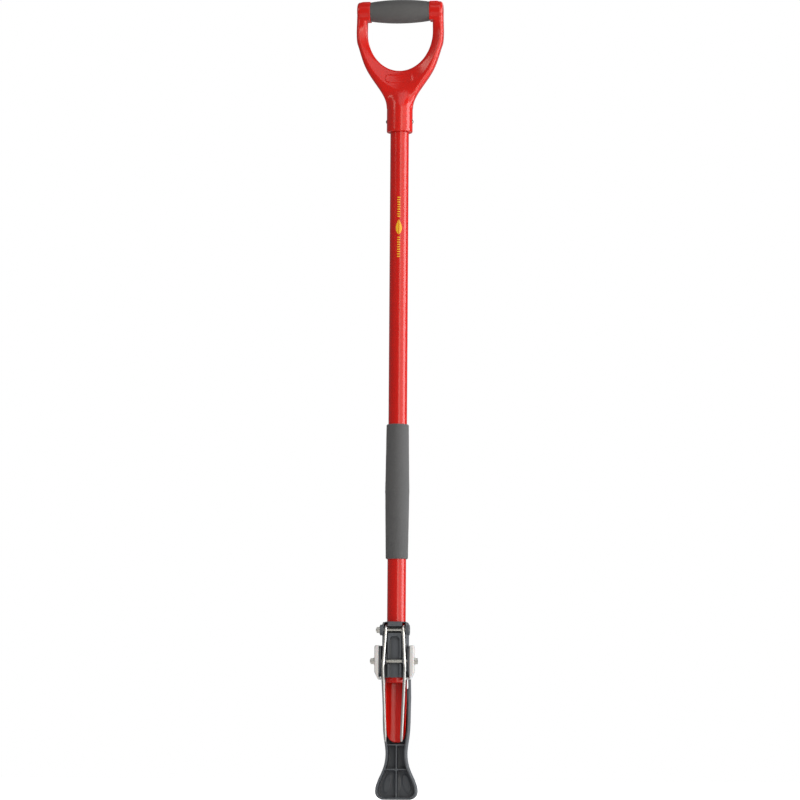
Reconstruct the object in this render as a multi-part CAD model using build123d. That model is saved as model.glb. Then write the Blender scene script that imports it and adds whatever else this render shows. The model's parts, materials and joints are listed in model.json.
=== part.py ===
from build123d import *
import os
from math import cos, pi, radians, sin, sqrt, tan

os.makedirs("parts", exist_ok=True)

# A stand-up weed and root extractor, in millimetres.
# The tube's axis is Z, the foot lever's toe is at z = 0, and the tines are on the -Y side.

# Main tube
TUBE_R = 12.7
TUBE_WALL = 1.5
TUBE_BOTTOM = 161.3
TUBE_TOP = 963.0
SLIP = 0.05

# Gouge blade and its sleeve
BLADE_R = 15.0
BLADE_TIP = 77.3
BLADE_TAPER = 96.1
BLADE_TAPER_HALF = 13.2
BLADE_SHOULDER = 157.9
SLEEVE_TOP = 210.3
BLADE_RIVET_Z = 201.3
BLADE_RIVET_R = 2.5
PLUG_LENGTH = 12.0

# D-handle
GRIP_AXIS_Z = 1083.2
GRIP_HALF = 40.8
GRIP_END_R = 13.35
GRIP_MID_R = 16.4
CORE_R = 9.5
BLOCK_R = 13.5
BLOCK_END = 59.3
SHOULDER_R = 9.0
LOOP_EDGE = 5.0
SOCKET_R = 17.8
SOCKET_BOTTOM = 913.6
SOCKET_TOP = 969.5
THROAT_Z = 947.1
HANDLE_HALF_WIDTH = 60.2
HANDLE_HALF_DEPTH = 10.0
OPENING_HALF = 45.4
OPENING_Z = 1055.1
OPENING_DROP = 55.4
RIVET_Z = 928.9
RIVET_R = 2.0
RIVET_HEAD_R = 2.75
RIVET_HEAD_RISE = 1.3

# Foam grip
FOAM_BOTTOM = 325.8
FOAM_TOP = 509.9
FOAM_END_R = 15.2
FOAM_MID_R = 16.6
FOAM_EDGE = 2.2

# Pivots: T carries the tines, A carries the lever. M5 hardware on both.
T_Y = -17.0
T_Z = 228.8
A_Y = -19.5
A_Z = 186.7
BOLT_R = 2.5
RUN_FIT = 0.05
NUT_FLATS = 8.0
WASHER_R = 5.0
WASHER = 0.9
PIVOT_HEAD_R = 4.0
PIVOT_HEAD = 2.3
PIVOT_SEAT_R = 4.4
PIVOT_NUT = 3.6
AXLE_HEAD = 3.2
AXLE_NUT = 4.0
THREAD_OUT = 1.2
THREAD_CHAMFER = 0.5

# Bracket
BRACKET_BOTTOM = 164.7
BRACKET_TOP = 240.6
BRACKET_HALF = 16.8
BRACKET_FRONT = -21.5
BRACKET_BACK = 18.0
BACK_CORNER = 13.0
FRONT_CORNER = 1.2
SHOULDER_EDGE = 4.0
CHEEK_IN = 14.9
PIVOT_SEAT = CHEEK_IN + 2.3
PLATE_HALF = 9.6
PLATE_TOP = 224.9
BAR_BOTTOM = 233.9
RECESS_HALF = 6.6
RECESS_TOP = 220.5
RECESS_FLOOR = -16.8
RECESS_CORNER = 5.0
SLOT_FLOOR = -13.4
EYE_SLOT_FLOOR = -9.9
EYE_SLOT_BOTTOM = 219.3
PIN_GAP_FLOOR = -14.2
BOSS_R = 7.3
BOSS_OUT = 20.0
THRUST_R = 10.0
THRUST_OUT = 17.7
SCREW_Z = (192.3, 224.3)
SCREW_R = 2.0
SCREW_HEAD_R = 3.8
SCREW_HEAD = 2.2
SCREW_DRIVE = 4.2
SCREW_SLOT = 0.9

# Tines
WIRE_R = 2.0
EYE_R = 4.8
EYE_X = 11.9
BEND_X = 14.9
BEND_Z = 176.7
TIP_X = 10.9
TIP_Y = -27.5
TIP_Z = 78.4
TIP_TAPER = 6.0
TIP_R = 1.2
LEAN = 6.0

# Motion: the tines open TINE_RATIO degrees for each degree of the lever.
LEVER_SWING = 80.0
TINE_RATIO = 0.12
CAM_GAP = 0.3
CAM_IN = 10.6
CAM_OUT = 14.6

# Foot lever
FAR = 45.0
HUB_IN = 18.0
HUB_OUT = 20.8
HUB_HALF_HEIGHT = 21.0
HUB_FRONT = -25.5
HUB_BACK = 8.0
HUB_CORNER = 10.0
ARM_OUT = 19.3
ARM_IN = 17.1
TOE_HALF = 28.3
TOE_Z = 10.8
ARM_LOW_IN = 15.4
ARM_KNEE_Z = 147.0
ARM_BEND_Z = 152.0
LEVER_FRONT = 2.0
LEVER_BACK = 22.0
ARM_FRONT = -9.0
FLANGE_IN = 12.2
FLANGE_FRONT = 10.0
FLANGE_TOP = 150.0
TOE_FRONT = 5.0
SOLE_Z = 54.0
ELBOW_Z = 131.4
WEB = 3.0
RIM = 3.0
RIB = 2.2
RIB_FRONT = 8.0
LEVER_TOP = 172.3
FORK_Z = 124.5
UPPER_RIB_Z = 75.4
LOWER_RIB_Z = 42.1
OVAL_X = 12.9
OVAL_Z = 22.0
OVAL_TILT = 14.0
OVAL_RISE = 0.8
TREADS = 7
TREAD_Z = 8.0
TREAD_PITCH = 7.0
TREAD_WIDTH = 2.0
TREAD_DEPTH = 0.8

# Cheek guards
GUARD_IN = 21.1
GUARD_OUT = 26.9
NUT_IN = GUARD_OUT + CAM_GAP + WASHER
GUARD_TOP = 208.1
GUARD_KNEE = 172.3
GUARD_BOTTOM = 161.8
GUARD_FRONT = -26.5
GUARD_BACK = -8.0
LIP_IN = 13.5
LIP_FRONT = -22.5
LIP_BACK = -12.0


def tube_between(outer_r, inner_r, bottom, top):
    """A plain tube on the main axis."""
    return Pos(0, 0, bottom) * extrude(Circle(outer_r) - Circle(inner_r), top - bottom)


def column(radius, bottom, top):
    """A solid round bar on the main axis."""
    return Pos(0, 0, bottom) * extrude(Circle(radius), top - bottom)


def rod_x(radius, x0, x1, y, z):
    """A round bar along X from x0 to x1."""
    return Pos((x0 + x1) / 2, y, z) * Rot(0, 90, 0) * Cylinder(radius, abs(x1 - x0))


def rod_y(radius, y0, y1, x, z):
    """A round bar along Y from y0 to y1."""
    return Pos(x, (y0 + y1) / 2, z) * Rot(90, 0, 0) * Cylinder(radius, abs(y1 - y0))


def block(x0, x1, y0, y1, z0, z1):
    """A box between two corners."""
    middle = Pos((x0 + x1) / 2, (y0 + y1) / 2, (z0 + z1) / 2)
    return middle * Box(x1 - x0, y1 - y0, z1 - z0)


def across(face_xz, y0, y1):
    """A sketch drawn in X and Z, made solid from y0 to y1."""
    return extrude(Plane.XZ.offset(-y1) * face_xz, y1 - y0)


def sideways(face_yz, x0, x1):
    """A sketch drawn in Y and Z, made solid from x0 to x1."""
    return extrude(Plane.YZ.offset(x0) * face_yz, x1 - x0)


def both_sides(solid):
    """A solid and its mirror image on the other side of the tube."""
    return solid + mirror(solid, about=Plane.YZ)


def rod_between(start, end, radius):
    """A round bar from one point to another."""
    run = end - start
    bar = Cylinder(radius, run.length, align=(Align.CENTER, Align.CENTER, Align.MIN))
    return Plane(origin=start, z_dir=run) * bar


def main_tube():
    tube = tube_between(TUBE_R, TUBE_R - TUBE_WALL, TUBE_BOTTOM, TUBE_TOP)
    tube -= rod_x(RIVET_R, -SOCKET_R, SOCKET_R, 0, RIVET_Z)
    tube -= rod_x(BLADE_RIVET_R, -BLADE_R, BLADE_R, 0, BLADE_RIVET_Z)
    for z in SCREW_Z:
        tube -= rod_y(SCREW_R, 0, BRACKET_BACK, 0, z)
    return tube


def tube_plug():
    plug = column(TUBE_R - TUBE_WALL, TUBE_BOTTOM, TUBE_BOTTOM + PLUG_LENGTH)
    return chamfer(plug.edges().group_by(Axis.Z)[-1], 1.0)


def gouge_blade():
    pipe = tube_between(BLADE_R, TUBE_R + SLIP, BLADE_TIP, SLEEVE_TOP)
    pipe -= block(-BLADE_R, BLADE_R, -BLADE_R, 0, 0, BLADE_SHOULDER)
    side = BLADE_R + 0.2
    edge = Line((side, BLADE_SHOULDER), (BLADE_TAPER_HALF, BLADE_TAPER))
    tongue = Spline(
        (BLADE_TAPER_HALF, BLADE_TAPER),
        (0, BLADE_TIP),
        (-BLADE_TAPER_HALF, BLADE_TAPER),
        tangents=((-0.03, -1), (-0.03, 1)),
    )
    other_edge = Line((-BLADE_TAPER_HALF, BLADE_TAPER), (-side, BLADE_SHOULDER))
    rest = Polyline(
        (-side, BLADE_SHOULDER), (-side, SLEEVE_TOP), (side, SLEEVE_TOP), (side, BLADE_SHOULDER)
    )
    outline = make_face([edge, tongue, other_edge, rest])
    blade = pipe & across(outline, -side, side)
    blade -= rod_x(BLADE_RIVET_R, -BLADE_R, BLADE_R, 0, BLADE_RIVET_Z)
    return blade - rod_y(SCREW_R, 0, BRACKET_BACK, 0, SCREW_Z[0])


def blade_rivet():
    """A rivet with its ends dressed flush with the sleeve."""
    rivet = rod_x(BLADE_RIVET_R, -BLADE_R, BLADE_R, 0, BLADE_RIVET_Z)
    return rivet & column(BLADE_R, BLADE_TIP, SLEEVE_TOP)


def handle_outline():
    """The D seen from the front, without its hand opening."""
    flank = Spline(
        (SOCKET_R, THROAT_Z),
        (22.9, 965.4),
        (33.9, 982.3),
        (48.8, 1007.3),
        (57.3, 1032.8),
        (HANDLE_HALF_WIDTH, OPENING_Z),
        tangents=((0, 1), (0, 1)),
    )
    top = GRIP_AXIS_Z + BLOCK_R
    side = Line((HANDLE_HALF_WIDTH, OPENING_Z), (BLOCK_END, top - SHOULDER_R))
    corner = JernArc((BLOCK_END, top - SHOULDER_R), (0, 1), SHOULDER_R, 90)
    lid = Line(corner @ 1, (0, top))
    foot = Polyline((0, top), (0, THROAT_Z), (SOCKET_R, THROAT_Z))
    half = make_face([flank, side, corner, lid, foot])
    return half + mirror(half, about=Plane.YZ)


def hand_opening():
    """The opening for the hand, below the crossbar."""
    dish = Pos(0, OPENING_Z) * Ellipse(OPENING_HALF, OPENING_DROP)
    below = Pos(0, OPENING_Z - OPENING_DROP / 2) * Rectangle(2 * OPENING_HALF, OPENING_DROP)
    under_blocks = GRIP_AXIS_Z - BLOCK_R
    rise = under_blocks - OPENING_Z
    middle = Pos(0, OPENING_Z + rise / 2) * Rectangle(2 * OPENING_HALF, rise)
    bar_space = Pos(0, GRIP_AXIS_Z) * Rectangle(2 * (GRIP_HALF + SLIP), 4 * BLOCK_R)
    return (dish & below) + middle + bar_space


def handle_frame():
    loop = across(handle_outline() - hand_opening(), -HANDLE_HALF_DEPTH, HANDLE_HALF_DEPTH)
    rims = loop.edges().filter_by(lambda e: e.center().Z < OPENING_Z - 8 and e.length > 60)
    loop = fillet(rims, LOOP_EDGE)
    socket = column(SOCKET_R, SOCKET_BOTTOM, SOCKET_TOP)
    socket = fillet(socket.edges().group_by(Axis.Z)[-1], 12.0)
    socket = fillet(socket.edges().group_by(Axis.Z)[0], 1.2)
    frame = loop + socket
    for side in (-1, 1):
        inner = side * (GRIP_HALF + SLIP)
        end = rod_x(BLOCK_R, min(inner, side * BLOCK_END), max(inner, side * BLOCK_END), 0, GRIP_AXIS_Z)
        frame += fillet(end.edges().filter_by(lambda e: abs(e.center().X) > 50), 4.0)
    frame += rod_x(CORE_R, -BLOCK_END + 5, BLOCK_END - 5, 0, GRIP_AXIS_Z)
    frame -= column(TUBE_R + SLIP, SOCKET_BOTTOM, TUBE_TOP)
    return frame - rod_x(RIVET_R, -SOCKET_R, SOCKET_R, 0, RIVET_Z)


def handle_grip():
    half = GRIP_HALF
    barrel = ThreePointArc((-half, GRIP_END_R), (0, GRIP_MID_R), (half, GRIP_END_R))
    inside = Polyline(
        (half, GRIP_END_R), (half, CORE_R + SLIP), (-half, CORE_R + SLIP), (-half, GRIP_END_R)
    )
    section = make_face([barrel, inside])
    sleeve = revolve(section, Axis.X)
    return Pos(0, 0, GRIP_AXIS_Z) * sleeve


def handle_rivet():
    """A cross rivet with a domed head at each end."""
    tip = SOCKET_R + RIVET_HEAD_RISE
    ball_r = (RIVET_HEAD_R**2 + RIVET_HEAD_RISE**2) / (2 * RIVET_HEAD_RISE)
    right = RadiusArc((SOCKET_R, RIVET_HEAD_R), (tip, 0), ball_r)
    left = RadiusArc((-tip, 0), (-SOCKET_R, RIVET_HEAD_R), ball_r)
    shank = Polyline(
        (-SOCKET_R, RIVET_HEAD_R),
        (-SOCKET_R, RIVET_R),
        (SOCKET_R, RIVET_R),
        (SOCKET_R, RIVET_HEAD_R),
    )
    section = make_face([left, shank, right, Line((tip, 0), (-tip, 0))])
    return Pos(0, 0, RIVET_Z) * revolve(section, Axis.X)


def foam_grip():
    middle = (FOAM_BOTTOM + FOAM_TOP) / 2
    belly = ThreePointArc((FOAM_END_R, FOAM_BOTTOM), (FOAM_MID_R, middle), (FOAM_END_R, FOAM_TOP))
    inner_r = TUBE_R + SLIP
    inside = Polyline(
        (FOAM_END_R, FOAM_TOP), (inner_r, FOAM_TOP), (inner_r, FOAM_BOTTOM), (FOAM_END_R, FOAM_BOTTOM)
    )
    section = make_face([belly, inside])
    foam = revolve(Plane.XZ * section, Axis.Z)
    ends = foam.edges().filter_by(GeomType.CIRCLE).filter_by(lambda e: e.radius > FOAM_END_R - 0.1)
    return fillet(ends, FOAM_EDGE)


def bracket():
    height = BRACKET_TOP - BRACKET_BOTTOM
    plan = Pos(0, (BRACKET_FRONT + BRACKET_BACK) / 2) * Rectangle(
        2 * BRACKET_HALF, BRACKET_BACK - BRACKET_FRONT
    )
    plan = fillet(plan.vertices().group_by(Axis.Y)[-1], BACK_CORNER)
    plan = fillet(plan.vertices().group_by(Axis.Y)[0], FRONT_CORNER)
    body = Pos(0, 0, BRACKET_BOTTOM) * extrude(plan, height)
    shoulders = body.edges().group_by(Axis.Z)[-1].filter_by(Axis.Y)
    body = fillet(shoulders, SHOULDER_EDGE)
    bosses = both_sides(rod_x(BOSS_R, CHEEK_IN, BOSS_OUT, T_Y, T_Z))
    thrusts = both_sides(rod_x(THRUST_R, CHEEK_IN, THRUST_OUT, A_Y, A_Z))
    thrusts &= block(-THRUST_OUT, THRUST_OUT, BRACKET_FRONT, 0, BRACKET_BOTTOM, BRACKET_TOP)
    body += bosses + thrusts

    # Bore: wide for the blade's sleeve, narrow for the tube above it
    body -= column(TUBE_R + SLIP, BRACKET_BOTTOM, BRACKET_TOP)
    body -= column(BLADE_R + SLIP, BRACKET_BOTTOM, SLEEVE_TOP + 1)

    # Slots that the tines and their eyes work in
    far_front = GUARD_FRONT
    body -= both_sides(
        block(PLATE_HALF, CHEEK_IN, far_front, SLOT_FLOOR, BRACKET_BOTTOM, BRACKET_TOP)
    )
    body -= both_sides(
        block(PLATE_HALF, CHEEK_IN, far_front, EYE_SLOT_FLOOR, EYE_SLOT_BOTTOM, BRACKET_TOP)
    )
    window = block(PLATE_HALF, CHEEK_IN, far_front, -4.0, BAR_BOTTOM - 1, BRACKET_TOP - 2)
    body -= both_sides(window)

    # Gap in front of the pin, the long recess, and the groove that clears the axle
    body -= block(-PLATE_HALF, PLATE_HALF, far_front, PIN_GAP_FLOOR, PLATE_TOP, BAR_BOTTOM)
    recess_height = RECESS_TOP - BRACKET_BOTTOM
    arch = Pos(0, BRACKET_BOTTOM + recess_height / 2) * Rectangle(2 * RECESS_HALF, recess_height)
    arch = fillet(arch.vertices().group_by(Axis.Y)[-1], RECESS_CORNER)
    body -= across(arch, far_front, RECESS_FLOOR)
    groove_r = BOLT_R + 0.8
    body -= rod_x(groove_r, -PLATE_HALF, PLATE_HALF, A_Y, A_Z)
    body -= block(-PLATE_HALF, PLATE_HALF, far_front, A_Y, A_Z - groove_r, A_Z + groove_r)

    # Holes for the two cross bolts and the rear screws
    body -= rod_x(BOLT_R, -BOSS_OUT, BOSS_OUT, T_Y, T_Z)
    body -= rod_x(BOLT_R + RUN_FIT, -BOSS_OUT, BOSS_OUT, A_Y, A_Z)
    body -= rod_x(PIVOT_SEAT_R, PIVOT_SEAT, BOSS_OUT, T_Y, T_Z)
    for z in SCREW_Z:
        body -= rod_y(SCREW_R, 0, BRACKET_BACK, 0, z)
    return body


def bracket_screws():
    screws = []
    for z in SCREW_Z:
        shank = rod_y(SCREW_R, TUBE_R - TUBE_WALL - 2, BRACKET_BACK, 0, z)
        head_top = BRACKET_BACK + SCREW_HEAD
        head = rod_y(SCREW_HEAD_R, BRACKET_BACK, head_top, 0, z)
        head = fillet(head.edges().group_by(Axis.Y)[-1], 1.2)
        cross = Rectangle(SCREW_DRIVE, SCREW_SLOT) + Rectangle(SCREW_SLOT, SCREW_DRIVE)
        drive = across(Pos(0, z) * cross, BRACKET_BACK + SCREW_HEAD / 2, head_top)
        screws.append(shank + head - drive)
    return Compound(screws)


def hexagon(flats):
    """A hexagon of this width across flats."""
    return RegularPolygon(flats / sqrt(3), 6)


def hex_x(x0, x1, y, z):
    """A hexagonal nut body along X."""
    blank = sideways(Pos(y, z) * hexagon(NUT_FLATS), x0, x1)
    return blank & rod_x(NUT_FLATS * 0.56, x0, x1, y, z)


def washer_x(x0, y, z):
    return rod_x(WASHER_R, x0, x0 + WASHER, y, z) - rod_x(BOLT_R, x0, x0 + WASHER, y, z)


def tine_pivot_bolt():
    head = rod_x(PIVOT_HEAD_R, PIVOT_SEAT, PIVOT_SEAT + PIVOT_HEAD, T_Y, T_Z)
    head = fillet(head.edges().group_by(Axis.X)[-1], 1.5)
    tail = -(BOSS_OUT + WASHER + PIVOT_NUT + THREAD_OUT)
    shank = rod_x(BOLT_R, tail, PIVOT_SEAT, T_Y, T_Z)
    shank = chamfer(shank.edges().group_by(Axis.X)[0], THREAD_CHAMFER)
    return shank + head


def tine_pivot_washer():
    return washer_x(-BOSS_OUT - WASHER, T_Y, T_Z)


def tine_pivot_nut():
    inner = -(BOSS_OUT + WASHER)
    nut = hex_x(inner - PIVOT_NUT, inner, T_Y, T_Z)
    return nut - rod_x(BOLT_R, inner - PIVOT_NUT, inner, T_Y, T_Z)


def lever_axle():
    head = hex_x(NUT_IN, NUT_IN + AXLE_HEAD, A_Y, A_Z)
    shank = rod_x(BOLT_R, -(NUT_IN + AXLE_NUT + THREAD_OUT), NUT_IN, A_Y, A_Z)
    shank = chamfer(shank.edges().group_by(Axis.X)[0], THREAD_CHAMFER)
    return shank + head


def axle_nut():
    nut = hex_x(-(NUT_IN + AXLE_NUT), -NUT_IN, A_Y, A_Z)
    return nut - rod_x(BOLT_R, -(NUT_IN + AXLE_NUT), -NUT_IN, A_Y, A_Z)


def axle_washers():
    return Compound([washer_x(-NUT_IN, A_Y, A_Z), washer_x(NUT_IN - WASHER, A_Y, A_Z)])


def tine():
    """The right tine: an eye round the upper bolt, a leg to the bend, and a leg to the tip."""
    lean = radians(LEAN)
    eye = Pos(EYE_X, T_Y, T_Z) * Rot(0, 90, 0) * Torus(EYE_R, WIRE_R)
    top = Vector(EYE_X, T_Y - EYE_R * cos(lean), T_Z + EYE_R * sin(lean))
    bend = Vector(BEND_X, top.Y - (top.Z - BEND_Z) * tan(lean), BEND_Z)
    tip = Vector(TIP_X, TIP_Y, TIP_Z)
    neck = tip - (tip - bend).normalized() * TIP_TAPER
    point = Cone(WIRE_R, TIP_R, TIP_TAPER, align=(Align.CENTER, Align.CENTER, Align.MIN))
    spike = rod_between(bend, neck, WIRE_R) + Plane(origin=neck, z_dir=tip - bend) * point
    return eye + rod_between(top, bend, WIRE_R) + Pos(bend) * Sphere(WIRE_R) + spike


def cam_edge(swing):
    """Where the cam meets the tine's back face when the lever stands at this swing."""
    drop = A_Z - T_Z
    reach = A_Y - T_Y
    tilt = radians(LEAN + TINE_RATIO * swing)
    back_face = EYE_R - WIRE_R - CAM_GAP
    rise = -drop * sin(tilt) + reach * cos(tilt) + back_face
    slope = -drop * cos(tilt) - reach * sin(tilt)
    slope *= -TINE_RATIO / (1 + TINE_RATIO)
    turn = pi - tilt - radians(swing)
    return (
        A_Y + rise * cos(turn) - slope * sin(turn),
        A_Z + rise * sin(turn) + slope * cos(turn),
    )


def cam(side):
    """A cam on the axle: its edge gives each tine the same share of the lever's turn."""
    steps = 8
    edge_points = [cam_edge(LEVER_SWING * i / steps) for i in range(steps + 1)]
    hub_r = -(A_Z - T_Z) * sin(radians(LEAN)) + (A_Y - T_Y) * cos(radians(LEAN))
    hub_r += EYE_R - WIRE_R - CAM_GAP
    lean = radians(LEAN)
    foot = (A_Y - hub_r * cos(lean), A_Z + hub_r * sin(lean))
    edge = Spline(*edge_points)
    rest = Polyline(edge @ 1, (A_Y + hub_r, A_Z), (A_Y, A_Z), foot, edge @ 0)
    lobe = make_face([edge, rest])
    face = lobe + Pos(A_Y, A_Z) * Circle(hub_r)
    inner, outer = sorted((side * CAM_IN, side * CAM_OUT))
    return sideways(face, inner, outer) - rod_x(BOLT_R, inner, outer, A_Y, A_Z)


def lever_outline(inset):
    """The lever seen from the front, from the arms down to the toe, drawn in by inset."""
    flank = Spline(
        (ARM_OUT - inset, LEVER_TOP),
        (19.1 - inset, 152.0),
        (18.3 - inset, 121.6),
        (16.6 - inset, 84.3),
        (14.1 - inset, 64.7),
        (17.2 - inset, 43.1),
        (24.2 - inset, 27.0),
        (TOE_HALF - inset, TOE_Z),
        tangents=((0, -1), (0, -1)),
    )
    toe = Spline(
        (TOE_HALF - inset, TOE_Z),
        (22.4 - inset * 0.4, 1.6 + inset * 0.9),
        (0, inset),
        tangents=((0, -1), (-1, 0)),
    )
    top = Polyline((0, inset), (0, LEVER_TOP), (ARM_OUT - inset, LEVER_TOP))
    half = make_face([flank, toe, top])
    return half + mirror(half, about=Plane.YZ)


def lever_side():
    """The lever seen from the side, below its hubs."""
    return make_face(
        Polyline(
            (ARM_FRONT, LEVER_TOP),
            (LEVER_FRONT, ELBOW_Z),
            (LEVER_FRONT, SOLE_Z),
            (TOE_FRONT, 0.0),
            (LEVER_BACK, 0.0),
            (LEVER_BACK, ELBOW_Z + 6.0),
            (HUB_BACK, LEVER_TOP),
            close=True,
        )
    )


def foot_lever():
    shell = across(lever_outline(0), -FAR, LEVER_BACK) & sideways(lever_side(), -FAR, FAR)
    below_fork = Pos(0, FORK_Z / 2) * Rectangle(2 * FAR, FORK_Z)
    shell -= across(lever_outline(RIM) & below_fork, -FAR, LEVER_BACK - WEB)
    fork = make_face(
        Polyline(
            (-ARM_LOW_IN, FORK_Z),
            (ARM_LOW_IN, FORK_Z),
            (ARM_LOW_IN, ARM_KNEE_Z),
            (ARM_IN, ARM_BEND_Z),
            (ARM_IN, LEVER_TOP + 1),
            (-ARM_IN, LEVER_TOP + 1),
            (-ARM_IN, ARM_BEND_Z),
            (-ARM_LOW_IN, ARM_KNEE_Z),
            close=True,
        )
    )
    flanges = both_sides(
        block(FLANGE_IN, ARM_LOW_IN + 1, FLANGE_FRONT, LEVER_BACK, FORK_Z - 1, FLANGE_TOP)
    )
    shell -= across(fork, -FAR, LEVER_BACK + 1) - flanges
    hub = Pos((HUB_FRONT + HUB_BACK) / 2, A_Z) * Rectangle(HUB_BACK - HUB_FRONT, 2 * HUB_HALF_HEIGHT)
    hub = fillet(hub.vertices(), HUB_CORNER)
    shell += both_sides(sideways(hub, HUB_IN, HUB_OUT))

    # Stiffening ribs on the underside, kept inside the rim
    web_face = LEVER_BACK - WEB
    inside = across(lever_outline(RIM / 2), -FAR, web_face + 1)
    ribs = block(-FAR, FAR, RIB_FRONT, web_face, UPPER_RIB_Z - RIB, UPPER_RIB_Z)
    ribs += block(-FAR, FAR, RIB_FRONT, web_face, LOWER_RIB_Z - RIB, LOWER_RIB_Z)
    ribs += block(-RIB / 2, RIB / 2, RIB_FRONT, web_face, 1.0, UPPER_RIB_Z - RIB)
    shell += ribs & inside

    # Raised ovals on the underside of the toe
    for side in (-1, 1):
        oval = Pos(side * OVAL_X, OVAL_Z) * Rot(0, 0, side * OVAL_TILT) * Ellipse(4.8, 13.0)
        shell += across(oval, web_face - OVAL_RISE, web_face)
    slim = Pos(0, OVAL_Z) * Ellipse(4.0, 11.7)
    shell += across(slim, web_face - OVAL_RISE, web_face)

    # Tread grooves on the side that the foot presses
    for i in range(TREADS):
        z = TREAD_Z + i * TREAD_PITCH
        shell -= block(-FAR, FAR, LEVER_BACK - TREAD_DEPTH, LEVER_BACK + 1, z, z + TREAD_WIDTH)
    return shell - rod_x(BOLT_R, -HUB_OUT, HUB_OUT, A_Y, A_Z)


def guard():
    """The right cheek guard: a pad outside the lever's hub with a lip hooked under the bracket."""
    pad_outline = make_face(
        Polyline(
            (GUARD_IN, GUARD_TOP),
            (GUARD_OUT, GUARD_TOP),
            (GUARD_OUT, GUARD_KNEE),
            (GUARD_IN + 0.6, GUARD_BOTTOM),
            (GUARD_IN, GUARD_BOTTOM),
            close=True,
        )
    )
    pad = across(pad_outline, GUARD_FRONT, GUARD_BACK)
    upright = pad.edges().filter_by(Axis.X)
    pad = fillet(upright, 4.0)
    pad = fillet(pad.edges().filter_by(lambda e: e.center().X > GUARD_OUT - 0.1), 1.6)
    lip = block(LIP_IN, GUARD_IN + 0.5, LIP_FRONT, LIP_BACK, GUARD_BOTTOM, BRACKET_BOTTOM - 0.1)
    return pad + lip - rod_x(BOLT_R + RUN_FIT, GUARD_IN, GUARD_OUT, A_Y, A_Z)


PARTS = {
    "main_tube": main_tube(),
    "tube_plug": tube_plug(),
    "gouge_blade": gouge_blade(),
    "blade_rivet": blade_rivet(),
    "handle_frame": handle_frame(),
    "handle_grip": handle_grip(),
    "handle_rivet": handle_rivet(),
    "foam_grip": foam_grip(),
    "bracket": bracket(),
    "bracket_screws": bracket_screws(),
    "tine_pivot_bolt": tine_pivot_bolt(),
    "tine_pivot_washer": tine_pivot_washer(),
    "tine_pivot_nut": tine_pivot_nut(),
    "guard_right": guard(),
    "guard_left": mirror(guard(), about=Plane.YZ),
    "foot_lever": foot_lever(),
    "lever_axle": lever_axle(),
    "axle_nut": axle_nut(),
    "axle_washers": axle_washers(),
    "cam_right": cam(1),
    "cam_left": cam(-1),
    "tine_right": tine(),
    "tine_left": mirror(tine(), about=Plane.YZ),
}

for name, shape in PARTS.items():
    export_step(shape, f"parts/{name}.step")
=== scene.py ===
"""The looks of a stand-up weed and root extractor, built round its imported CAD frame.

Everything is in the CAD's own frame: +Z up the tube, -Y towards the tines. Places are in
metres, and the lengths that shape a piece are in millimetres until they meet MM.
"""

import json
import math

import bmesh
import bpy
import numpy as np
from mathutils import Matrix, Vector, noise


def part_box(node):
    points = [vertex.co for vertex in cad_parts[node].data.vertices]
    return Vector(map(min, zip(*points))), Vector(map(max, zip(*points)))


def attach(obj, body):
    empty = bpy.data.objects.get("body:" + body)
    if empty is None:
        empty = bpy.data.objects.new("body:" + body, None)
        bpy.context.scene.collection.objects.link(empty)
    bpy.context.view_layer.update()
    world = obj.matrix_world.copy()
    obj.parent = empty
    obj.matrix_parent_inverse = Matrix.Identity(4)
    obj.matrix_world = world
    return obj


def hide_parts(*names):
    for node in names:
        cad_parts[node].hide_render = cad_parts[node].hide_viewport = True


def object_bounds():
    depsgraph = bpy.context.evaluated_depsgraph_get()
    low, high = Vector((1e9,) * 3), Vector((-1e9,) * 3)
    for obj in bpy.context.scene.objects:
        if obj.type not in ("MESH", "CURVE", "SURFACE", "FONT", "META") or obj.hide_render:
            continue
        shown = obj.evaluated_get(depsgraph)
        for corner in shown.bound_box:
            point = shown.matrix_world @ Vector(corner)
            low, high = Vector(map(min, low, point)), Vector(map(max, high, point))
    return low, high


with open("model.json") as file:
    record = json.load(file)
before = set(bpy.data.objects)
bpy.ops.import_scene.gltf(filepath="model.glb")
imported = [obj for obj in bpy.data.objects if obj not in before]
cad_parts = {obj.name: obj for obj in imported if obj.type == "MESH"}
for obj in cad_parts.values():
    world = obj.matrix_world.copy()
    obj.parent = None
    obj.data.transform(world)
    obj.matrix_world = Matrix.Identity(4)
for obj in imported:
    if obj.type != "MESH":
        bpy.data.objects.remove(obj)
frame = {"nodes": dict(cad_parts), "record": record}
cad_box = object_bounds()
nodes = frame["nodes"]
MM = 0.001


# ---------------------------------------------------------------- camera, floor and light

def look_at(place, target):
    """The rotation that points a camera or lamp at a target."""
    return (Vector(target) - Vector(place)).to_track_quat("-Z", "Y").to_euler()


CAMERA_AZIMUTH = 6.5
CAMERA_DISTANCE = 5.0
CAMERA_ASIDE = 0.0029
CAMERA_ROLL = 0.38
EYE_HEIGHT = 0.03
SENSOR_WIDTH = 36.0


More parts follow.
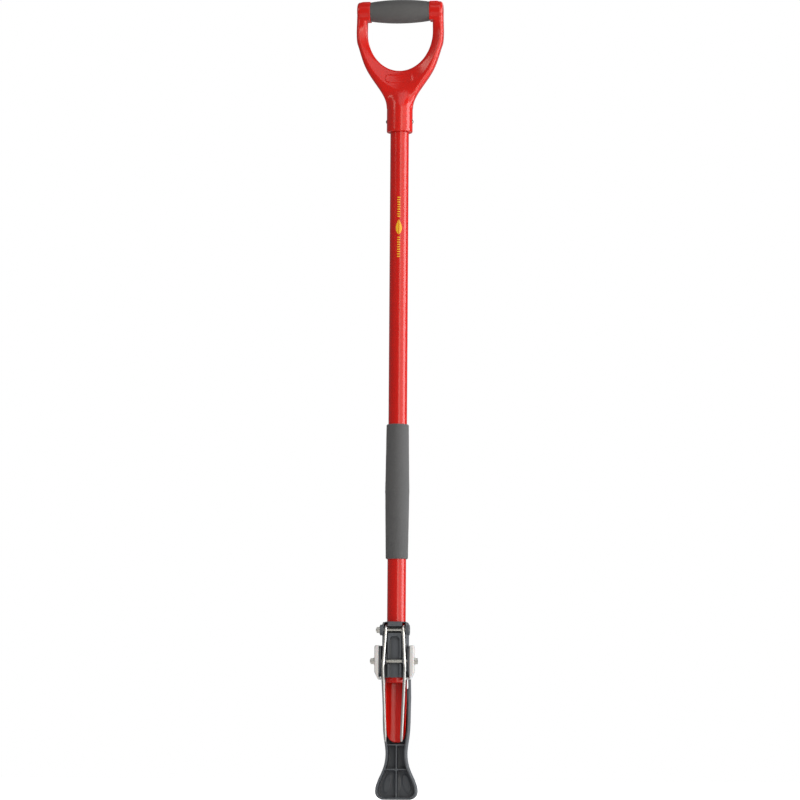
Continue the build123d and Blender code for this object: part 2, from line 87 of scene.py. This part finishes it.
def add_camera():
    """A long lens just above the floor, a little to the right of the tool's front."""
    azimuth = math.radians(CAMERA_AZIMUTH)
    low, high = cad_box
    upward = math.atan((high.z - EYE_HEIGHT) / CAMERA_DISTANCE)
    downward = math.atan((low.z - EYE_HEIGHT) / CAMERA_DISTANCE)
    pitch = (upward + downward) / 2
    right = Vector((math.cos(azimuth), math.sin(azimuth), 0.0))
    towards = Vector((math.sin(azimuth), -math.cos(azimuth), 0.0))
    aside = right * CAMERA_ASIDE
    place = towards * CAMERA_DISTANCE + Vector((0.0, 0.0, EYE_HEIGHT)) + aside
    target = Vector((0.0, 0.0, EYE_HEIGHT + CAMERA_DISTANCE * math.tan(pitch))) + aside
    data = bpy.data.cameras.new("camera")
    data.sensor_width = SENSOR_WIDTH
    data.lens = data.sensor_width / 2 / math.tan((upward - downward) / 2)
    camera = bpy.data.objects.new("camera", data)
    camera.location = place
    camera.rotation_euler = look_at(place, target)
    camera.rotation_euler.rotate_axis("Z", math.radians(CAMERA_ROLL))
    bpy.context.scene.collection.objects.link(camera)
    bpy.context.scene.camera = camera


WHITE = (1.0, 1.0, 1.0)
WARM = (1.0, 0.92, 0.80)
LAMP_AIM = Vector((0.0, 0.0, 0.55))


def soft_box(name, azimuth, spread, radiance, height=0.55, tall=2.7, distance=2.5, colour=WHITE):
    """A soft box that fills a spread of degrees round the tool, seen only by reflection."""
    angle = math.radians(azimuth)
    place = Vector((distance * math.sin(angle), -distance * math.cos(angle), height))
    width = 2 * distance * math.tan(math.radians(spread / 2))
    data = bpy.data.lights.new(name, "AREA")
    data.shape = "RECTANGLE"
    data.color = colour
    data.size, data.size_y = width, tall
    data.energy = radiance * math.pi * width * tall
    lamp = bpy.data.objects.new(name, data)
    lamp.location = place
    lamp.rotation_euler = look_at(place, LAMP_AIM)
    lamp.visible_camera = False
    bpy.context.scene.collection.objects.link(lamp)


def add_lights():
    """Three soft boxes to the right, the last one strong, and one each to the left, top and rear."""
    soft_box("right_box", 39.0, 53.0, 1.6, colour=WARM)
    soft_box("key_strip", 23.0, 12.0, 1.6, colour=WARM)
    soft_box("side_box", 87.0, 34.0, 5.4)
    soft_box("left_strip", -43.0, 14.0, 3.2, height=2.1, tall=1.5, colour=WARM)
    soft_box("top_box", 20.0, 50.0, 1.2, height=2.6, tall=1.6, distance=1.8)
    soft_box("rear_box", 165.0, 50.0, 1.0, height=2.4, tall=1.6)


BACKDROP_STRENGTH = 1.0
FILL_STRENGTH = 0.22


def add_world():
    """A white background for the camera, and dimmer light on the tool itself."""
    bpy.context.scene.view_settings.view_transform = "Standard"
    world = bpy.data.worlds.new("studio")
    world.use_nodes = True
    tree = world.node_tree
    tree.nodes.clear()
    mix = tree.nodes.new("ShaderNodeMixShader")
    for slot, strength in ((1, FILL_STRENGTH), (2, BACKDROP_STRENGTH)):
        glow = tree.nodes.new("ShaderNodeBackground")
        glow.inputs["Color"].default_value = (*WHITE, 1.0)
        glow.inputs["Strength"].default_value = strength
        tree.links.new(glow.outputs["Background"], mix.inputs[slot])
    rays = tree.nodes.new("ShaderNodeLightPath")
    tree.links.new(rays.outputs["Is Camera Ray"], mix.inputs["Fac"])
    out = tree.nodes.new("ShaderNodeOutputWorld")
    tree.links.new(mix.outputs["Shader"], out.inputs["Surface"])
    bpy.context.scene.world = world


FLOOR_HALF = 30.0


def add_floor(material):
    """A wide pale floor that the lever's toe stands on."""
    half = FLOOR_HALF
    mesh = bpy.data.meshes.new("floor")
    corners = [(-half, -half, 0), (half, -half, 0), (half, half, 0), (-half, half, 0)]
    mesh.from_pydata(corners, [], [(0, 1, 2, 3)])
    mesh.materials.append(material)
    floor = bpy.data.objects.new("floor", mesh)
    bpy.context.scene.collection.objects.link(floor)


# ---------------------------------------------------------------- materials

class Paint:
    """A material under construction: one Principled shader and the nodes that feed it."""

    def __init__(self, name, **constants):
        self.material = bpy.data.materials.new(name)
        self.material.use_nodes = True
        self.tree = self.material.node_tree
        self.shader = self.tree.nodes["Principled BSDF"]
        for socket, value in constants.items():
            self.shader.inputs[socket.replace("_", " ")].default_value = value
        self.place = self.add("ShaderNodeTexCoord").outputs["Object"]

    def add(self, kind, inputs=None, **settings):
        node = self.tree.nodes.new(kind)
        for key, value in settings.items():
            setattr(node, key, value)
        for key, value in (inputs or {}).items():
            if isinstance(value, bpy.types.NodeSocket):
                self.tree.links.new(value, node.inputs[key])
            else:
                node.inputs[key].default_value = value
        return node

    def stretched(self, scale):
        """The object's coordinates, scaled along each axis."""
        return self.add("ShaderNodeMapping", {"Vector": self.place, "Scale": scale}).outputs["Vector"]

    def noise(self, scale, detail=3.0, rough=0.5, place=None):
        inputs = {"Vector": place or self.place, "Scale": scale, "Detail": detail, "Roughness": rough}
        return self.add("ShaderNodeTexNoise", inputs).outputs["Fac"]

    def cells(self, scale, place=None):
        inputs = {"Vector": place or self.place, "Scale": scale}
        return self.add("ShaderNodeTexVoronoi", inputs).outputs["Distance"]

    def levels(self, value, low, high, to_low=0.0, to_high=1.0):
        """A value's range from low to high, spread over another range."""
        inputs = {"Value": value, 1: low, 2: high, 3: to_low, 4: to_high}
        return self.add("ShaderNodeMapRange", inputs).outputs["Result"]

    def math(self, operation, a, b):
        return self.add("ShaderNodeMath", {0: a, 1: b}, operation=operation).outputs["Value"]

    def mix(self, share, a, b):
        """Colour a turning into colour b as share goes from 0 to 1."""
        node = self.add("ShaderNodeMix", {"Factor": share}, data_type="RGBA")
        for socket, value in ((node.inputs[6], a), (node.inputs[7], b)):
            if isinstance(value, bpy.types.NodeSocket):
                self.tree.links.new(value, socket)
            else:
                socket.default_value = (*value, 1.0)
        return node.outputs[2]

    def colour(self, value):
        self.tree.links.new(value, self.shader.inputs["Base Color"])

    def roughness(self, value):
        self.tree.links.new(value, self.shader.inputs["Roughness"])

    def bump(self, height, depth, strength=1.0):
        inputs = {"Height": height, "Distance": depth, "Strength": strength}
        node = self.add("ShaderNodeBump", inputs)
        self.tree.links.new(node.outputs["Normal"], self.shader.inputs["Normal"])

    def painted_recess_shade(self, reach):
        """1 in the open and less in recesses, where light reaches less; a mask for painting shade into
        a colour.
        """
        outside = self.add("ShaderNodeAmbientOcclusion", {"Distance": reach}, samples=8)
        return self.levels(outside.outputs["AO"], 0.35, 0.95)

    def edges(self, reach):
        """1 on sharp outer edges and 0 on flats, from how light is shut out inside the solid."""
        inside = self.add("ShaderNodeAmbientOcclusion", {"Distance": reach}, inside=True, samples=6)
        return self.levels(inside.outputs["AO"], 0.55, 0.95, 1.0, 0.0)


def red_paint():
    """Gloss powder coat with faint orange peel and a few duller specks."""
    paint = Paint("red_paint", IOR=1.5)
    cloud = paint.noise(35.0, 4.0)
    base = paint.mix(cloud, (0.56, 0.006, 0.003), (0.62, 0.009, 0.004))
    specks = paint.levels(paint.noise(300.0, 2.0), 0.66, 0.78, 0.0, 0.4)
    paint.colour(paint.mix(specks, base, (0.56, 0.014, 0.009)))
    paint.roughness(paint.levels(paint.noise(60.0, 4.0), 0.3, 0.7, 0.16, 0.21))
    paint.bump(paint.noise(260.0, 1.0), 0.000006)
    return paint.material


def red_plastic():
    """Glossy moulded plastic, very slightly uneven, with faint scuffs."""
    paint = Paint("red_plastic", IOR=1.5)
    cloud = paint.noise(28.0, 3.0)
    base = paint.mix(cloud, (0.60, 0.007, 0.003), (0.66, 0.010, 0.004))
    scuff = paint.levels(paint.noise(380.0, 4.0), 0.60, 0.72)
    paint.colour(paint.mix(paint.math("MULTIPLY", scuff, 0.5), base, (0.60, 0.020, 0.012)))
    paint.roughness(paint.levels(paint.noise(90.0, 4.0), 0.3, 0.7, 0.15, 0.23))
    paint.bump(paint.noise(160.0, 2.0), 0.00002)
    return paint.material


def grey_foam():
    """Closed-cell foam: a fine pebbled skin with open pores."""
    paint = Paint("grey_foam", Sheen_Weight=0.15, Sheen_Roughness=0.5)
    grain = paint.cells(900.0)
    speck = paint.levels(paint.noise(1300.0, 2.0), 0.35, 0.7)
    base = paint.mix(paint.noise(22.0, 3.0), (0.095, 0.098, 0.104), (0.125, 0.129, 0.137))
    paint.colour(paint.mix(speck, base, (0.075, 0.078, 0.083)))
    paint.roughness(paint.levels(grain, 0.0, 0.6, 0.95, 0.78))
    height = paint.math("ADD", grain, paint.math("MULTIPLY", speck, 0.6))
    paint.bump(height, 0.00022, 0.8)
    return paint.material


def grey_rubber():
    """Soft overmould with a fine spark-eroded skin."""
    paint = Paint("grey_rubber", Sheen_Weight=0.1, Sheen_Roughness=0.4)
    base = paint.mix(paint.noise(45.0, 4.0), (0.080, 0.082, 0.085), (0.104, 0.106, 0.110))
    paint.colour(paint.mix(paint.edges(0.0012), base, (0.125, 0.13, 0.135)))
    paint.roughness(paint.levels(paint.noise(300.0, 4.0), 0.3, 0.7, 0.55, 0.72))
    paint.bump(paint.cells(1500.0), 0.00010, 0.7)
    return paint.material


def dark_nylon():
    """Satin glass-filled nylon with painted shade darkening its recesses, and paler where edges are
    rubbed.
    """
    paint = Paint("dark_nylon", IOR=1.5)
    base = paint.mix(paint.noise(60.0, 4.0), (0.078, 0.088, 0.104), (0.102, 0.114, 0.133))
    # Painted shade: the colour darkens to a deeper grey-blue where the occlusion mask finds recesses.
    base = paint.mix(paint.painted_recess_shade(0.006), (0.040, 0.046, 0.056), base)
    rub = paint.math("MULTIPLY", paint.edges(0.0011), paint.levels(paint.noise(300.0), 0.3, 0.6))
    paint.colour(paint.mix(rub, base, (0.17, 0.18, 0.195)))
    paint.roughness(paint.levels(paint.noise(220.0, 5.0), 0.3, 0.7, 0.34, 0.50))
    paint.bump(paint.cells(2200.0), 0.00006, 0.6)
    return paint.material


def white_nylon():
    """Off-white nylon, slightly translucent, with handling marks along its edges."""
    paint = Paint("white_nylon", Subsurface_Weight=0.12, Subsurface_Scale=0.002, IOR=1.5)
    base = paint.mix(paint.noise(50.0, 4.0), (0.66, 0.66, 0.675), (0.74, 0.74, 0.75))
    paint.colour(paint.mix(paint.edges(0.001), base, (0.56, 0.56, 0.57)))
    paint.roughness(paint.levels(paint.noise(260.0, 4.0), 0.3, 0.7, 0.36, 0.50))
    paint.bump(paint.cells(1800.0), 0.00005, 0.5)
    return paint.material


def zinc_steel():
    """Bright zinc plating with the faint warm bloom of its passivation."""
    paint = Paint("zinc_steel", Metallic=1.0)
    bloom = paint.noise(380.0, 4.0)
    base = paint.mix(bloom, (0.60, 0.60, 0.55), (0.70, 0.69, 0.66))
    paint.colour(paint.mix(paint.edges(0.0006), base, (0.82, 0.81, 0.78)))
    paint.roughness(paint.levels(paint.noise(700.0, 4.0), 0.3, 0.7, 0.22, 0.40))
    paint.bump(paint.noise(1600.0, 3.0), 0.00003)
    return paint.material


def tine_steel():
    """Drawn steel wire: bright above the bend, darker and rougher below it towards the tips."""
    paint = Paint("tine_steel", Metallic=1.0)
    height = paint.add("ShaderNodeSeparateXYZ", {"Vector": paint.place}).outputs["Z"]
    # Below the bend the colour is darker and the finish rougher.
    below_bend = paint.levels(height, 0.178, 0.182, 1.0, 0.0)
    bright = paint.mix(paint.noise(500.0, 4.0), (0.72, 0.72, 0.71), (0.84, 0.84, 0.83))
    dull = paint.mix(paint.noise(900.0, 5.0), (0.34, 0.35, 0.35), (0.56, 0.57, 0.57))
    paint.colour(paint.mix(below_bend, bright, dull))
    rings = paint.noise(1.0, 2.0, place=paint.stretched((300.0, 300.0, 1600.0)))
    worn = paint.levels(rings, 0.3, 0.7, 0.20, 0.42)
    paint.roughness(paint.math("ADD", worn, paint.math("MULTIPLY", below_bend, 0.12)))
    paint.bump(rings, 0.00003)
    return paint.material


def dark_steel():
    """Blackened rivet steel with bright rubbed spots."""
    paint = Paint("dark_steel", Metallic=1.0)
    base = paint.mix(paint.noise(700.0, 4.0), (0.10, 0.09, 0.085), (0.17, 0.155, 0.145))
    paint.colour(paint.mix(paint.edges(0.0008), base, (0.36, 0.34, 0.32)))
    paint.roughness(paint.levels(paint.noise(1200.0, 4.0), 0.3, 0.7, 0.30, 0.48))
    paint.bump(paint.noise(1800.0), 0.00003)
    return paint.material


def print_yellow():
    """Screen-printed yellow ink, uneven in tone, in a slightly rough film."""
    paint = Paint("print_yellow", Coat_Weight=0.2, Coat_Roughness=0.2)
    paint.colour(paint.mix(paint.noise(300.0, 3.0), (0.80, 0.42, 0.005), (0.88, 0.52, 0.010)))
    paint.roughness(paint.levels(paint.noise(800.0, 3.0), 0.3, 0.7, 0.30, 0.45))
    paint.bump(paint.noise(1500.0, 2.0), 0.00003)
    return paint.material


def studio_floor():
    """Pale matt paper, faintly mottled, that glows for the camera only."""
    paint = Paint("studio_floor", Emission_Color=(*WHITE, 1.0))
    seen = paint.add("ShaderNodeLightPath").outputs["Is Camera Ray"]
    paint.tree.links.new(seen, paint.shader.inputs["Emission Strength"])
    paint.colour(paint.mix(paint.noise(3.0, 3.0), (0.86, 0.86, 0.86), (0.90, 0.90, 0.90)))
    paint.roughness(paint.levels(paint.noise(60.0), 0.3, 0.7, 0.75, 0.9))
    return paint.material


FINISHES = {
    "red_paint": red_paint(),
    "red_plastic": red_plastic(),
    "grey_rubber": grey_rubber(),
    "grey_foam": grey_foam(),
    "dark_nylon": dark_nylon(),
    "white_nylon": white_nylon(),
    "zinc_steel": zinc_steel(),
    "tine_steel": tine_steel(),
    "dark_steel": dark_steel(),
}
NODE_SLOTS = {s["node"]: s["material_slot"] for s in frame["record"]["subparts"]}


def finish_nodes():
    """Gives every CAD node the material of its slot."""
    for name, node in nodes.items():
        node.data.materials.clear()
        node.data.materials.append(FINISHES[NODE_SLOTS[name]])


# ---------------------------------------------------------------- pieces

def settle(piece, body, slot, *replaced, material=None):
    """Gives a piece its material, chosen by its slot unless one is given, and its body, and hides the
    CAD nodes that it stands for.
    """
    piece.data.materials.clear()
    piece.data.materials.append(material or FINISHES[slot])
    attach(piece, body)
    if replaced:
        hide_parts(*replaced)


def get_points(mesh):
    """A mesh's vertices as an array with one row each."""
    points = np.empty(len(mesh.vertices) * 3)
    mesh.vertices.foreach_get("co", points)
    return points.reshape(-1, 3)


def set_points(mesh, points):
    """Moves a mesh's vertices to the rows of an array."""
    mesh.vertices.foreach_set("co", points.ravel())
    mesh.update()


def relax(mesh, points, rounds, weight):
    """Moves each point towards the middle of its neighbours, as far as its weight allows."""
    ends = np.empty(len(mesh.edges) * 2, dtype=np.int64)
    mesh.edges.foreach_get("vertices", ends)
    ends = ends.reshape(-1, 2)
    count = np.bincount(ends.ravel(), minlength=len(points))
    share = (0.5 * weight / np.maximum(count, 1))[:, None]
    for _ in range(rounds):
        pull = np.zeros_like(points)
        gap = points[ends[:, 1]] - points[ends[:, 0]]
        for axis in range(3):
            pull[:, axis] += np.bincount(ends[:, 0], gap[:, axis], len(points))
            pull[:, axis] -= np.bincount(ends[:, 1], gap[:, axis], len(points))
        points = points + pull * share
    return points


def bake(piece):
    """Replaces a piece's mesh by what its modifiers make of it."""
    seen = piece.evaluated_get(bpy.context.evaluated_depsgraph_get())
    mesh = bpy.data.meshes.new_from_object(seen)
    piece.modifiers.clear()
    piece.data = mesh


def even_mesh(node, name, voxel):
    """A fine even mesh of a CAD node's own shape."""
    piece = bpy.data.objects.new(name, nodes[node].data.copy())
    bpy.context.scene.collection.objects.link(piece)
    remesh = piece.modifiers.new("remesh", "REMESH")
    remesh.mode = "VOXEL"
    remesh.voxel_size = voxel * MM
    bake(piece)
    piece.data.shade_smooth()
    return piece


def moulded(node, name, body, voxel, rounds):
    """A CAD node's shape with its edges and corners softened as in a mould."""
    piece = even_mesh(node, name, voxel)
    points = get_points(piece.data)
    low, high = points.min(0), points.max(0)
    points = relax(piece.data, points, rounds, np.ones(len(points)))
    set_points(piece.data, np.clip(points, low, high))
    settle(piece, body, NODE_SLOTS[node], node)


def ease(value, low, high):
    """0 below low, 1 above high, and a smooth rise between."""
    t = np.clip((value - low) / (high - low), 0.0, 1.0)
    return t * t * (3 - 2 * t)


SHARP_ANGLE = 38.0
BORE_MARGIN = 0.1


def turned(name, profile, turns, shape):
    """A closed ring turned from a profile of (radius, height) points. shape places each point."""
    angles = [2 * math.pi * i / turns for i in range(turns)]
    points = [shape(radius, height, angle) for radius, height in profile for angle in angles]
    faces = []
    for row in range(len(profile)):
        next_row = (row + 1) % len(profile)
        for i in range(turns):
            k = (i + 1) % turns
            corners = ((row, i), (row, k), (next_row, k), (next_row, i))
            faces.append(tuple(r * turns + c for r, c in corners))
    mesh = bpy.data.meshes.new(name)
    mesh.from_pydata(points, [], faces)
    mesh.update()
    bm = bmesh.new()
    bm.from_mesh(mesh)
    bmesh.ops.recalc_face_normals(bm, faces=bm.faces)
    bm.to_mesh(mesh)
    bm.free()
    mesh.set_sharp_from_angle(angle=math.radians(SHARP_ANGLE))
    piece = bpy.data.objects.new(name, mesh)
    bpy.context.scene.collection.objects.link(piece)
    return piece


def steps(start, end, count):
    """Evenly spaced (radius, height) points from start up to, but not with, end."""
    return [
        (start[0] + (end[0] - start[0]) * i / count, start[1] + (end[1] - start[1]) * i / count)
        for i in range(count)
    ]


def rounded(centre, radius, first, last, count):
    """Points along an arc of a profile, between two angles in degrees."""
    angles = [math.radians(first + (last - first) * i / count) for i in range(count)]
    return [(centre[0] + radius * math.cos(a), centre[1] + radius * math.sin(a)) for a in angles]


FOAM_BORE = 12.75
FOAM_END_R = 15.2
FOAM_EDGE = 2.0
FOAM_RIDGE = 0.15
FOAM_RIDGE_REACH = 2.0


def make_foam_grip():
    """A foam sleeve: two long tapers that meet at a faint parting ridge, with a pebbled skin."""
    low, high = (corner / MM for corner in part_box("foam_grip"))
    inner, end_r, edge = FOAM_BORE, FOAM_END_R, FOAM_EDGE
    ridge_r = (high.x - low.x) / 2
    middle_r = ridge_r - FOAM_RIDGE
    top_r = middle_r + FOAM_RIDGE
    middle = (low.z + high.z) / 2
    under, over = middle - FOAM_RIDGE_REACH, middle + FOAM_RIDGE_REACH
    profile = steps((inner, low.z), (end_r - edge, low.z), 2)
    profile += rounded((end_r - edge, low.z + edge), edge, -90, 0, 6)
    profile += steps((end_r, low.z + edge), (middle_r, under), 100)
    profile += steps((middle_r, under), (top_r, middle), 4)
    profile += steps((top_r, middle), (middle_r, over), 4)
    profile += steps((middle_r, over), (end_r, high.z - edge), 100)
    profile += rounded((end_r - edge, high.z - edge), edge, 0, 90, 6)
    profile += steps((end_r - edge, high.z), (inner, high.z), 2)
    profile += steps((inner, high.z), (inner, low.z), 12)

    def place(radius, height, turn):
        point = Vector((math.cos(turn) * radius, math.sin(turn) * radius, height))
        if radius > inner + BORE_MARGIN:
            pebble = noise.noise(point * 1.1) * 0.09 + noise.noise(point * 0.45) * 0.07
            dent = noise.noise(point * 0.06) * 0.16
            grown = min((radius + pebble + dent) / radius, top_r / radius)
            point = Vector((point.x * grown, point.y * grown, height))
        return point * MM

    piece = turned("foam_sleeve", profile, 150, place)
    settle(piece, "root", "grey_foam", "foam_grip")


GRIP_BORE = 9.55
GRIP_END_R = 13.35
GRIP_EDGE = 0.5
GRIP_BAND = 2.6
GRIP_GROOVE = 0.28
GRIP_GROOVE_REACH = 0.45
GRIP_STATIONS = 110


def make_handle_grip():
    """The crossbar's soft sleeve: a barrel with a narrow plain band at each end."""
    low, high = (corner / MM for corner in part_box("handle_grip"))
    half, middle_r = high.x, (high.z - low.z) / 2
    centre_z = (low.z + high.z) / 2
    end_r, inner, edge = GRIP_END_R, GRIP_BORE, GRIP_EDGE
    profile = steps((inner, -half), (end_r - edge, -half), 2)
    profile += rounded((end_r - edge, -half + edge), edge, -90, 0, 4)
    for i in range(GRIP_STATIONS):
        x = -half + edge + (2 * half - 2 * edge) * i / GRIP_STATIONS
        swell = 1 - (x / half) ** 2
        from_groove = (abs(x) - (half - GRIP_BAND)) / GRIP_GROOVE_REACH
        groove = GRIP_GROOVE * math.exp(-(from_groove**2))
        profile.append((end_r + (middle_r - end_r) * swell - groove, x))
    profile += rounded((end_r - edge, half - edge), edge, 0, 90, 4)
    profile += steps((end_r - edge, half), (inner, half), 2)
    profile += steps((inner, half), (inner, -half), 10)

    def place(radius, along, turn):
        point = Vector((along, math.cos(turn) * radius, math.sin(turn) * radius))
        if radius > inner + BORE_MARGIN:
            grain = noise.noise(point * 0.9) * 0.05
            point.yz = point.yz * min((radius + grain) / radius, middle_r / radius)
        return (point + Vector((0, 0, centre_z))) * MM

    piece = turned("grip_sleeve", profile, 110, place)
    settle(piece, "root", "grey_rubber", "handle_grip")


PRINT_HEIGHT = 781.0
PRINT_FACING = 5.0
PRINT_LIFT = 0.03
PRINT_FILM = 0.06
BAR_LEFT = -2.1
BAR_RIGHT = 1.9
BAR_TALL = 1.5
BAR_START = 14.5
BAR_PITCH = 3.3
BARS = 9
LEAF_HALF = 10.5
LEAF_BELLY = 3.9
LEAF_RIB = 0.35
LEAF_STEPS = 16
STRIP_COLUMNS = 8


def print_strips():
    """The ornament's strips, each as rows of (left, right, height) across the tube."""
    strips = []
    for i in range(BARS):
        for side in (1, -1):
            height = PRINT_HEIGHT + side * (BAR_START + i * BAR_PITCH)
            ends = (height - BAR_TALL / 2, height + BAR_TALL / 2)
            strips.append([(BAR_LEFT, BAR_RIGHT, end) for end in ends])
    for side in (-1, 1):
        rows = []
        for i in range(LEAF_STEPS + 1):
            t = i / LEAF_STEPS
            belly = LEAF_BELLY * math.sin(math.pi * t**0.8)
            rib, rim = side * LEAF_RIB, side * (LEAF_RIB + belly)
            rows.append((min(rib, rim), max(rib, rim), PRINT_HEIGHT + LEAF_HALF * (2 * t - 1)))
        strips.append(rows)
    return strips


def make_tube_print():
    """A plain yellow ornament up the tube's front: a leaf between two ladders of short bars."""
    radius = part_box("main_tube")[1].x / MM + PRINT_LIFT
    facing = math.radians(PRINT_FACING)
    width = STRIP_COLUMNS + 1
    verts, faces = [], []
    for rows in print_strips():
        start = len(verts)
        for left, right, height in rows:
            for i in range(width):
                turn = facing + (left + (right - left) * i / STRIP_COLUMNS) / radius
                verts.append((radius * math.sin(turn) * MM, -radius * math.cos(turn) * MM, height * MM))
        for j in range(len(rows) - 1):
            for i in range(STRIP_COLUMNS):
                a = start + j * width + i
                faces.append((a, a + 1, a + width + 1, a + width))
    mesh = bpy.data.meshes.new("tube_print")
    mesh.from_pydata(verts, [], faces)
    mesh.update()
    piece = bpy.data.objects.new("tube_print", mesh)
    bpy.context.scene.collection.objects.link(piece)
    film = piece.modifiers.new("film", "SOLIDIFY")
    film.thickness = PRINT_FILM * MM
    film.offset = -1.0
    bake(piece)
    settle(piece, "root", "red_paint", material=print_yellow())


# The D-handle. Drops are measured down from its grip's axis.
LOOP_HALF = 10
SOCKET_R = 17.8
THROAT_DROP = 136.0
THROAT_RISE = 27
CROTCH_DROP = 90
OPENING_DROP = 28.1
OPENING_HALF = 45.4
OPENING_TALL = 55.4
RIDGE_HALF = 56.5
RIDGE_TALL = 82.4
RIDGE_POWER = 1.68
DISH_DEPTH = 4.2
DISH_POWER = 1.9
OVAL_DROP = 94.9
OVAL_CORE = 13.4
OVAL_RISE = 0.6
OVAL_FIELD = 0.55
FOLD_START = (26.5, 111.0)
FOLD_END = (15.0, 135.0)
FOLD_DEPTH = 1.2


def fair_throat(mesh, points, axis_z):
    """Fairs the socket's top into the loop, then rounds every edge a little."""
    x, y, z = points.T
    reach = np.abs(y)
    throat_z = axis_z - THROAT_DROP
    barrel = np.sqrt(np.maximum(SOCKET_R**2 - x**2, 0.0))
    ramp = LOOP_HALF + (barrel - LOOP_HALF) * (1 - ease(z, throat_z, throat_z + THROAT_RISE))
    facing = (reach > 8.5) & (barrel > LOOP_HALF) & (z > throat_z) & (z < axis_z - CROTCH_DROP)
    ramped = np.sign(y) * np.maximum(np.minimum(reach, LOOP_HALF), ramp)
    points = np.stack([x, np.where(facing, ramped, y), z], 1)
    near = ease(z, throat_z - 12, throat_z + 2) * (1 - ease(z, throat_z + 26, throat_z + 34))
    near *= ease(reach, 6.0, 8.0) * (1 - ease(np.abs(x), 20.0, 23.0))
    points = relax(mesh, points, 70, near)
    return relax(mesh, points, 3, np.ones(len(points)))


def dish_loop(points, axis_z):
    """Hollows both faces between the opening's edge and the ridge outside it."""
    x, y, z = points.T
    across = np.abs(x)
    drop = np.maximum(axis_z - OPENING_DROP - z, 0.0)
    at_opening = np.hypot(across / OPENING_HALF, drop / OPENING_TALL)
    sides, height = across / RIDGE_HALF, drop / RIDGE_TALL
    at_ridge = (sides**RIDGE_POWER + height**RIDGE_POWER) ** (1 / RIDGE_POWER)
    inward = np.maximum(1 - at_ridge, 0.0)
    outward = np.maximum(at_opening - 1, 0.0)
    along = inward / (inward + 1.4 * outward + 1e-6)
    below_grip = 1 - ease(z, axis_z - 34, axis_z - 14)
    depth = DISH_DEPTH * (1 - (1 - along) ** DISH_POWER) * below_grip
    off_socket = 1 - ease(np.abs(y), 10.2, 11.2)
    return np.stack([x, y * (1 - depth / LOOP_HALF * off_socket), z], 1)


def raise_oval(points, axis_z):
    """An oval boss in the dish, with a shallow field inside its rim."""
    x, y, z = points.T
    beside = np.maximum(np.abs(x) - OVAL_CORE, 0.0)
    from_core = np.hypot(beside, z - (axis_z - OVAL_DROP))
    rim = (1 - ease(from_core, 5.2, 6.0)) - OVAL_FIELD * (1 - ease(from_core, 3.9, 4.7))
    on_face = ease(np.abs(y), 4.5, 5.5)
    return np.stack([x, y + np.sign(y) * OVAL_RISE * rim * on_face, z], 1)


def fold_throat(points, axis_z):
    """A fold line down each side of the throat."""
    x, y, z = points.T
    start = np.array([FOLD_START[0], axis_z - FOLD_START[1]])
    end = np.array([FOLD_END[0], axis_z - FOLD_END[1]])
    span = np.linalg.norm(end - start)
    run = (end - start) / span
    offset = np.stack([np.abs(x) - start[0], z - start[1]], 1)
    forward = offset @ run
    outboard = -offset @ np.array([run[1], -run[0]])
    window = ease(forward, -6.0, 4.0) * (1 - ease(forward, span - 4, span + 6))
    step = ease(outboard, -0.7, 0.9) * window * ease(np.abs(y), 3.0, 8.0)
    return np.stack([x, y - np.sign(y) * FOLD_DEPTH * step, z], 1)


def make_handle():
    """The D-handle: dished round its opening, with a ridge, an oval boss and a faired throat."""
    piece = even_mesh("handle_frame", "handle_shell", 0.62)
    grip_low, grip_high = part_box("handle_grip")
    axis_z = (grip_low.z + grip_high.z) / 2 / MM
    points = fair_throat(piece.data, get_points(piece.data) / MM, axis_z)
    for shape in (dish_loop, raise_oval, fold_throat):
        points = shape(points, axis_z)
    set_points(piece.data, points * MM)
    settle(piece, "root", "red_plastic", "handle_frame")


add_camera()
add_world()
add_lights()
add_floor(studio_floor())
finish_nodes()
make_handle()
make_foam_grip()
make_handle_grip()
make_tube_print()
for node, name, body, voxel, rounds in (
    ("bracket", "bracket_body", "root", 0.5, 3),
    ("foot_lever", "lever_body", "lever", 0.6, 4),
    ("guard_right", "guard_body_right", "root", 0.4, 4),
    ("guard_left", "guard_body_left", "root", 0.4, 4),
    ("gouge_blade", "blade_body", "root", 0.5, 2),
):
    moulded(node, name, body, voxel, rounds)
